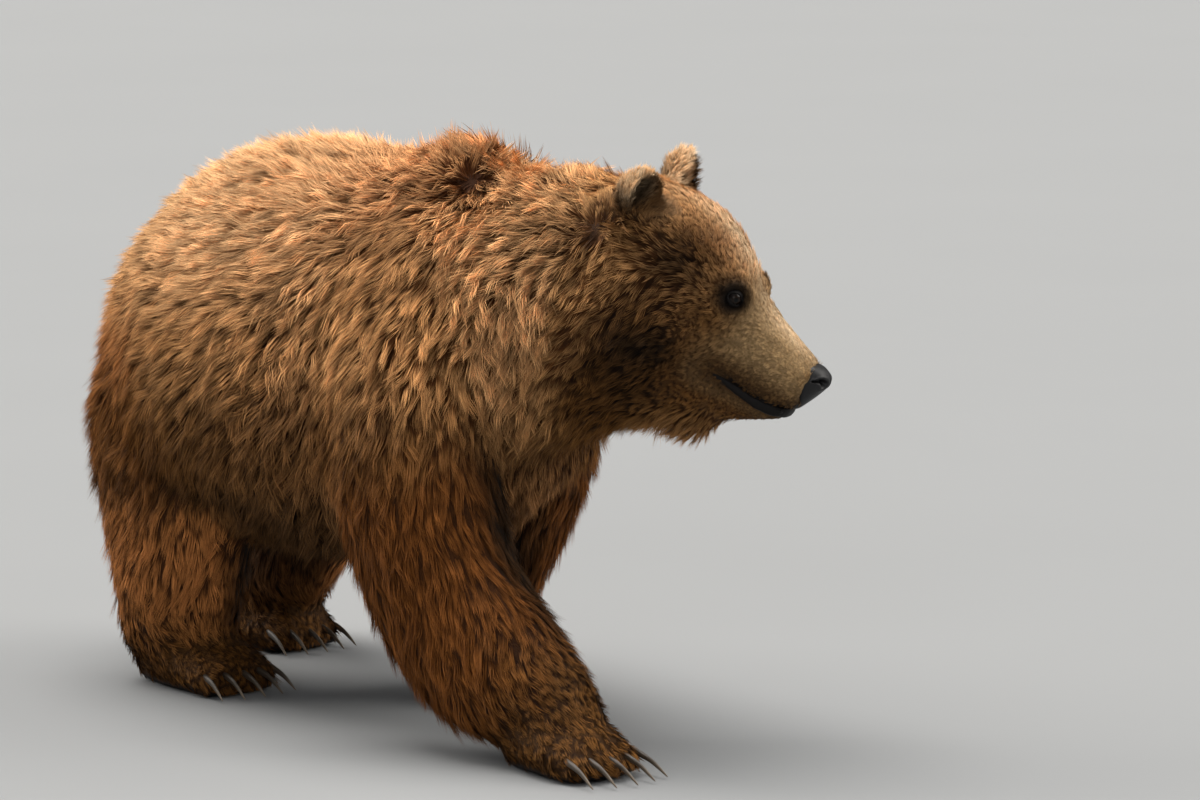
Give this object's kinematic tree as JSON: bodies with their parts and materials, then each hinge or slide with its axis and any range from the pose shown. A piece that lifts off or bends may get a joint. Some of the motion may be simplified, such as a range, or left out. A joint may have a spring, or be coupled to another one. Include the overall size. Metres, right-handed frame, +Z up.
{
  "type": "brown bear",
  "caption": "Life-size brown bear walking on all fours, head lowered and turned to its left, standing flat on its soles.",
  "frame": {"origin": "on the floor under the middle of the bounding box", "axes": "+X forward along the back, +Y to the bear's left, +Z up"},
  "size_m": [1.4288, 0.6084, 0.9262],
  "materials": {
    "coat_belly": "coarse hair",
    "coat_chest": "coarse hair",
    "coat_ear": "coarse hair",
    "eye_surface": "wet dark brown",
    "coat_forearm": "coarse hair",
    "claw_horn": "worn dark horn",
    "coat_forepaw": "coarse hair",
    "coat_head": "coarse hair",
    "coat_hindpaw": "coarse hair",
    "coat_lower_jaw": "coarse hair",
    "coat_neck": "coarse hair",
    "nose_leather": "moist black leather",
    "coat_rump": "coarse hair",
    "coat_shank": "coarse hair",
    "coat_tail": "coarse hair",
    "coat_thigh": "coarse hair",
    "coat_upper_arm": "coarse hair"
  },
  "bodies": {
    "root": {"belly": "coat_belly", "chest": "coat_chest", "ear_left": "coat_ear", "ear_right": "coat_ear", "eye_left": "eye_surface", "eye_right": "eye_surface", "forearm_left": "coat_forearm", "forearm_right": "coat_forearm", "foreclaw_left_1": "claw_horn", "foreclaw_left_2": "claw_horn", "foreclaw_left_3": "claw_horn", "foreclaw_left_4": "claw_horn", "foreclaw_left_5": "claw_horn", "foreclaw_right_1": "claw_horn", "foreclaw_right_2": "claw_horn", "foreclaw_right_3": "claw_horn", "foreclaw_right_4": "claw_horn", "foreclaw_right_5": "claw_horn", "forepaw_left": "coat_forepaw", "forepaw_right": "coat_forepaw", "head": "coat_head", "hindclaw_left_1": "claw_horn", "hindclaw_left_2": "claw_horn", "hindclaw_left_3": "claw_horn", "hindclaw_left_4": "claw_horn", "hindclaw_left_5": "claw_horn", "hindclaw_right_1": "claw_horn", "hindclaw_right_2": "claw_horn", "hindclaw_right_3": "claw_horn", "hindclaw_right_4": "claw_horn", "hindclaw_right_5": "claw_horn", "hindpaw_left": "coat_hindpaw", "hindpaw_right": "coat_hindpaw", "lower_jaw": "coat_lower_jaw", "neck": "coat_neck", "nose": "nose_leather", "rump": "coat_rump", "shank_left": "coat_shank", "shank_right": "coat_shank", "tail": "coat_tail", "thigh_left": "coat_thigh", "thigh_right": "coat_thigh", "upper_arm_left": "coat_upper_arm", "upper_arm_right": "coat_upper_arm"}
  },
  "joints": []
}
